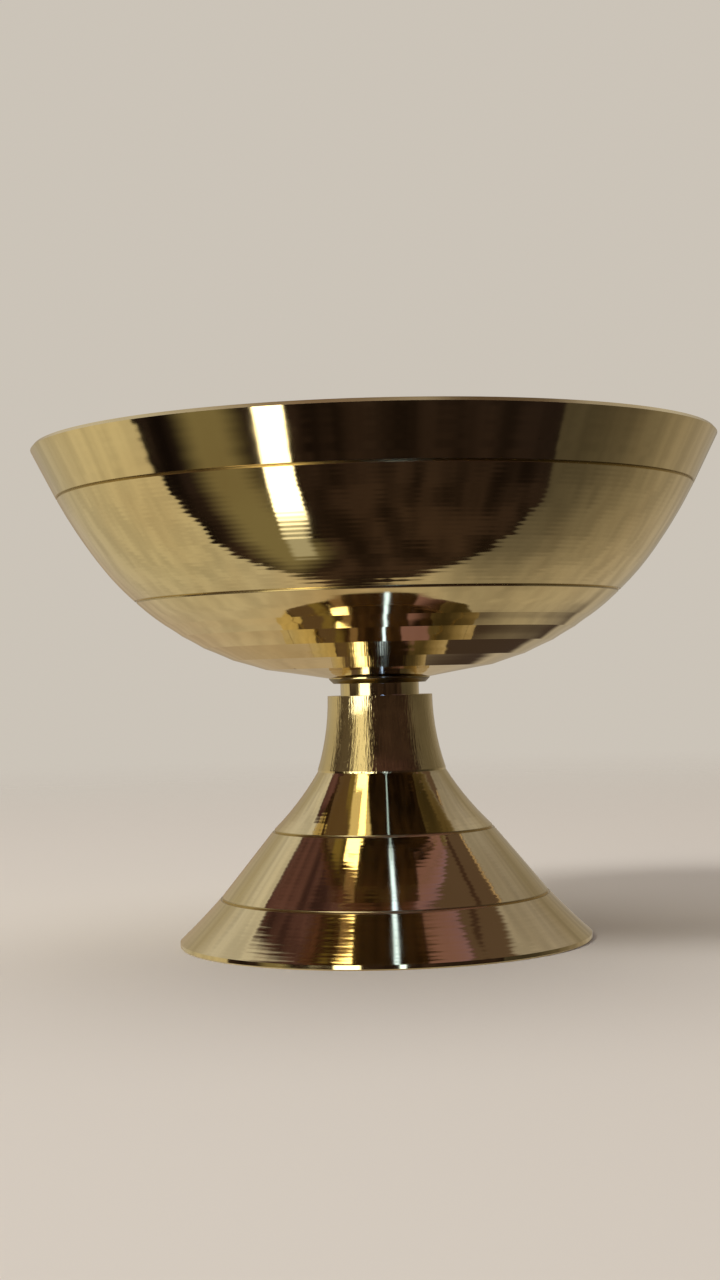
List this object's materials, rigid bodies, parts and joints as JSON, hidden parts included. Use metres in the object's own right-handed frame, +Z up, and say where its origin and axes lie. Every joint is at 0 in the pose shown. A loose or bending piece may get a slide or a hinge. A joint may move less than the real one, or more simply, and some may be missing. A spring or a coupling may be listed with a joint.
{
  "type": "butter lamp",
  "caption": "Turned brass butter lamp: a wide grooved cup that screws onto a hollow flared foot, with a cotton wick on a wooden splint standing in the cup's floor.",
  "frame": {"origin": "centre of the foot's underside, on the table", "axes": "+Z up along the turning axis; the lamp is round about Z apart from its screw thread"},
  "size_m": [0.07, 0.07, 0.051],
  "materials": {
    "foot_brass": "mirror-polished turned brass with fine lathe lines",
    "cup_brass": "mirror-polished turned brass with fine lathe lines",
    "splint_wood": "plain split wood",
    "wick_cotton": "loose rolled cotton"
  },
  "bodies": {
    "foot": {"foot": "foot_brass"},
    "collar": {"neck_collar": "foot_brass"},
    "cup": {"cup": "cup_brass", "stem_stud": "cup_brass"},
    "wick": {"wick_stick": "splint_wood", "wick_cotton": "wick_cotton"}
  },
  "joints": [
    {"name": "cup_rise", "type": "slide", "parent": "foot", "child": "collar", "axis": [0, 0, 1], "range_m": [0, 0.00801]},
    {"name": "cup_turn", "type": "hinge", "parent": "collar", "child": "cup", "pos_m": [0, 0, 0.0264], "axis": [0, 0, 1], "range_deg": [0, 2880]},
    {"name": "wick_lift", "type": "slide", "parent": "cup", "child": "wick", "axis": [0, 0, 1], "range_m": [0, 0.022]}
  ],
  "couplings": [
    {"joint": "cup_rise", "follows": "cup_turn", "m_per_rad": 0.00015915}
  ]
}
